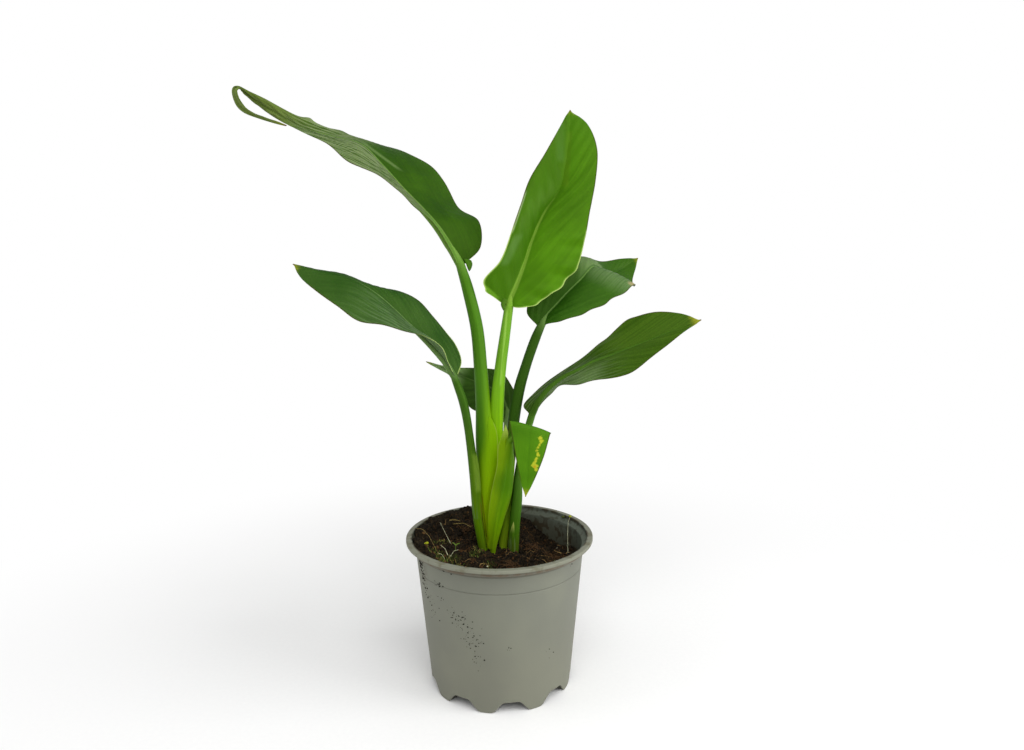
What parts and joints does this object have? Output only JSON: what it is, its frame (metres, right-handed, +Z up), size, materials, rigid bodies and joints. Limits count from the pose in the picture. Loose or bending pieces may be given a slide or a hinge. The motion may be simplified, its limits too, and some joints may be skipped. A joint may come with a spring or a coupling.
{
  "type": "potted bird of paradise plant",
  "caption": "Young bird of paradise plant with paddle-shaped leaves on long stalks, growing in compost in a tapered plastic nursery pot with a flanged rim and scalloped feet.",
  "frame": {"origin": "centre of the pot's underside, on the plane of its feet", "axes": "+Z up along the pot's axis; -Y towards the viewer, with the leaf fan spread along X"},
  "size_m": [0.2802, 0.1246, 0.3715],
  "materials": {
    "pot": "satin",
    "compost": "matte",
    "young_leaf": "satin",
    "leaf": "satin"
  },
  "bodies": {
    "root": {"pot": "pot", "compost": "compost", "leaf_centre": "young_leaf", "leaf_tall_left": "leaf", "leaf_folded": "leaf", "leaf_lower_left": "leaf", "leaf_lower_right": "leaf", "leaf_upper_right": "leaf", "leaf_back": "leaf"}
  },
  "joints": []
}
